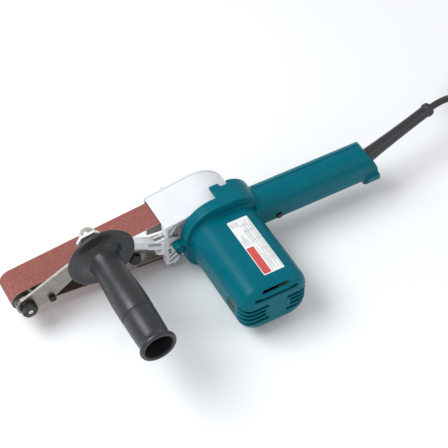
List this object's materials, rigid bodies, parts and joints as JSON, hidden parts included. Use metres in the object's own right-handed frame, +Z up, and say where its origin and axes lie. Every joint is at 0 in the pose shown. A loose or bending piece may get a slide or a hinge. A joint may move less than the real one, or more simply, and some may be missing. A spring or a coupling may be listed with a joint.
{
  "type": "handheld belt sander",
  "caption": "Handheld belt sander with a long slim belt arm, a cross-mounted motor barrel, an in-line rear handle, a side grip and a mains lead.",
  "frame": {"origin": "on the standing surface, under the middle of everything but the free lead", "axes": "+X from the belt's nose to the rear handle and lead, +Y from the motor barrel to the belt's open side, +Z up"},
  "size_m": [0.6609, 0.2093, 0.1185],
  "materials": {
    "teal_plastic": "moulded, satin",
    "label": "printed film",
    "white_casting": "painted die casting",
    "cast_aluminium": "as cast, tumbled",
    "steel": "bright plated",
    "dark_steel": "blackened",
    "brass": "plain",
    "black_plastic": "moulded, satin",
    "black_rubber": "matt",
    "abrasive": "bonded grit on cloth"
  },
  "bodies": {
    "housing": {"abrasive_belt": "abrasive", "spindle_bearing_near": "steel", "spindle_bearing_far": "steel", "armature_bearing_near": "steel", "armature_bearing_far": "steel", "stator": "dark_steel", "brush_holder_left": "brass", "carbon_brush_left": "black_plastic", "brush_cap_left": "black_plastic", "brush_holder_right": "brass", "carbon_brush_right": "black_plastic", "brush_cap_right": "black_plastic", "motor_housing": "teal_plastic", "name_plate": "label", "handle_cover": "teal_plastic", "handle_screw_1": "dark_steel", "handle_screw_2": "dark_steel", "housing_screw_1": "dark_steel", "housing_screw_2": "dark_steel", "gear_plate": "cast_aluminium", "gear_housing": "white_casting", "arm_screw_1": "dark_steel", "arm_screw_2": "dark_steel", "side_cover": "white_casting", "side_cover_screw_1": "steel", "side_cover_screw_2": "steel", "cast_arm": "cast_aluminium", "platen": "steel", "guide_bolt_front": "dark_steel", "guide_bolt_rear": "dark_steel", "tension_spring": "steel", "side_grip": "black_plastic", "grip_collar": "dark_steel", "grip_stud": "steel", "grip_nut": "steel", "switch_body": "black_plastic", "cord_clamp": "black_plastic", "cord_guard": "black_rubber", "cord_run": "black_rubber", "cord_tail": "black_rubber", "cord_coil": "black_rubber", "cord_tie": "black_plastic", "plug_body": "black_plastic", "plug_pin_1": "brass", "plug_pin_2": "brass"},
    "armature": {"armature_shaft": "steel", "armature_core": "dark_steel", "commutator": "brass", "fan": "black_plastic"},
    "layshaft": {"layshaft_gear": "steel"},
    "drive_spindle": {"spindle": "steel", "spindle_gear": "steel", "drive_pulley": "cast_aluminium"},
    "idler_slide_arm": {"idler_arm": "steel"},
    "idler_axle": {"idler_axle": "steel", "axle_nut": "dark_steel"},
    "idler": {"idler_roller": "steel"},
    "tracking_screw": {"tracking_screw": "dark_steel"},
    "trigger": {"trigger": "black_plastic"},
    "lock_button": {"lock_button": "black_plastic"}
  },
  "joints": [
    {"name": "armature_spin", "type": "hinge", "parent": "housing", "child": "armature", "pos_m": [-0.02518, -0.0222, 0.03598], "axis": [0, 1, 0], "continuous": true},
    {"name": "layshaft_spin", "type": "hinge", "parent": "housing", "child": "layshaft", "pos_m": [-0.03068, 0.0298, 0.051], "axis": [0, 1, 0], "continuous": true},
    {"name": "drive_spin", "type": "hinge", "parent": "housing", "child": "drive_spindle", "pos_m": [-0.03068, 0.0678, 0.034], "axis": [0, 1, 0], "continuous": true},
    {"name": "idler_slide", "type": "slide", "parent": "housing", "child": "idler_slide_arm", "axis": [1, 0, 0], "range_m": [0, 0.008], "stiffness_N_per_m": 1500, "springref_m": -0.012, "deforming": ["tension_spring"]},
    {"name": "tracking_turn", "type": "hinge", "parent": "idler_slide_arm", "child": "tracking_screw", "pos_m": [-0.20257, 0.0458, 0.0325], "axis": [0, 1, 0], "range_deg": [-300, 300]},
    {"name": "axle_tilt", "type": "hinge", "parent": "idler_slide_arm", "child": "idler_axle", "pos_m": [-0.22757, 0.0493, 0.034], "axis": [0, 0, 1], "range_deg": [-1, 1]},
    {"name": "idler_spin", "type": "hinge", "parent": "idler_axle", "child": "idler", "pos_m": [-0.22757, 0.0678, 0.034], "axis": [0, 1, 0], "continuous": true},
    {"name": "trigger_pull", "type": "hinge", "parent": "housing", "child": "trigger", "pos_m": [0.02182, 0.0418, 0.029], "axis": [0, -1, 0], "range_deg": [0, 8], "stiffness_Nm_per_rad": 0.5, "springref_deg": -17.19},
    {"name": "lock_press", "type": "slide", "parent": "housing", "child": "lock_button", "axis": [0, 1, 0], "range_m": [0, 0.0025], "stiffness_N_per_m": 400, "springref_m": -0.003}
  ],
  "couplings": [
    {"joint": "layshaft_spin", "follows": "armature_spin", "ratio": -0.33333},
    {"joint": "drive_spin", "follows": "armature_spin", "ratio": 0.23333},
    {"joint": "idler_spin", "follows": "armature_spin", "ratio": 0.6956},
    {"joint": "axle_tilt", "follows": "tracking_turn", "ratio": 0.0033333}
  ]
}
